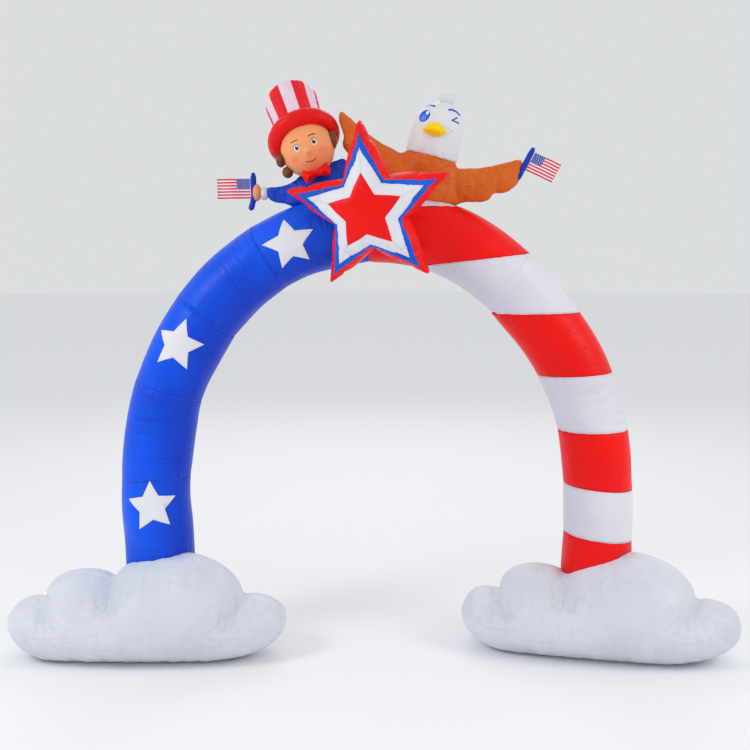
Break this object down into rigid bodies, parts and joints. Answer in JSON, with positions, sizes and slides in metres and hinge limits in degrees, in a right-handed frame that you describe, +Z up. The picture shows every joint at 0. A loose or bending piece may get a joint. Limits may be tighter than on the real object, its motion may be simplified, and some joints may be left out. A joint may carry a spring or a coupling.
{
  "type": "inflatable arch",
  "caption": "Walk-through archway of blown-up cloth tube, starred blue on one side and striped red and white on the other, on cloud bases, with a star, a doll and an eagle on top.",
  "frame": {"origin": "on the floor, under the middle of the whole arch", "axes": "+X to the right seen from the front, from the blue leg to the striped leg; +Y from the front to the back; +Z up"},
  "size_m": [3.8146, 0.7448, 2.9882],
  "materials": {
    "blue_taffeta": "coated nylon taffeta, semi-gloss",
    "red_taffeta": "coated nylon taffeta, semi-gloss",
    "white_taffeta": "coated nylon taffeta, semi-gloss",
    "cloud_taffeta": "coated nylon taffeta, semi-gloss",
    "brown_taffeta": "coated nylon taffeta, semi-gloss",
    "yellow_taffeta": "coated nylon taffeta, semi-gloss",
    "skin_taffeta": "coated nylon taffeta, semi-gloss",
    "hair_taffeta": "coated nylon taffeta, semi-gloss",
    "coat_taffeta": "coated nylon taffeta, semi-gloss",
    "flag_cloth": "printed nylon taffeta, semi-gloss"
  },
  "bodies": {
    "root": {"blue_panel_1": "blue_taffeta", "blue_panel_2": "blue_taffeta", "blue_panel_3": "blue_taffeta", "blue_panel_4": "blue_taffeta", "blue_panel_5": "blue_taffeta", "stripe_0_white": "white_taffeta", "stripe_1_red": "red_taffeta", "stripe_2_white": "white_taffeta", "stripe_3_red": "red_taffeta", "stripe_4_white": "white_taffeta", "stripe_5_red": "red_taffeta", "stripe_6_white": "white_taffeta", "stripe_7_red": "red_taffeta", "cloud_left": "cloud_taffeta", "cloud_right": "cloud_taffeta", "leg_star_low": "white_taffeta", "leg_star_middle": "white_taffeta", "leg_star_high": "white_taffeta", "star_body": "red_taffeta", "star_blue": "blue_taffeta", "star_white": "white_taffeta", "star_red": "red_taffeta", "eagle_body": "brown_taffeta", "eagle_head": "white_taffeta", "eagle_tuft": "white_taffeta", "eagle_beak": "yellow_taffeta", "doll_coat": "coat_taffeta", "doll_head": "skin_taffeta", "doll_brim": "red_taffeta", "doll_hat": "white_taffeta", "doll_hair_upper": "hair_taffeta", "doll_hair_lower": "hair_taffeta", "doll_hair_right": "hair_taffeta", "doll_bow": "red_taffeta", "doll_cuff": "white_taffeta", "doll_hand": "skin_taffeta", "flag_staff_left": "blue_taffeta", "flag_staff_right": "blue_taffeta", "flag_left": "flag_cloth", "flag_right": "flag_cloth"}
  },
  "joints": []
}
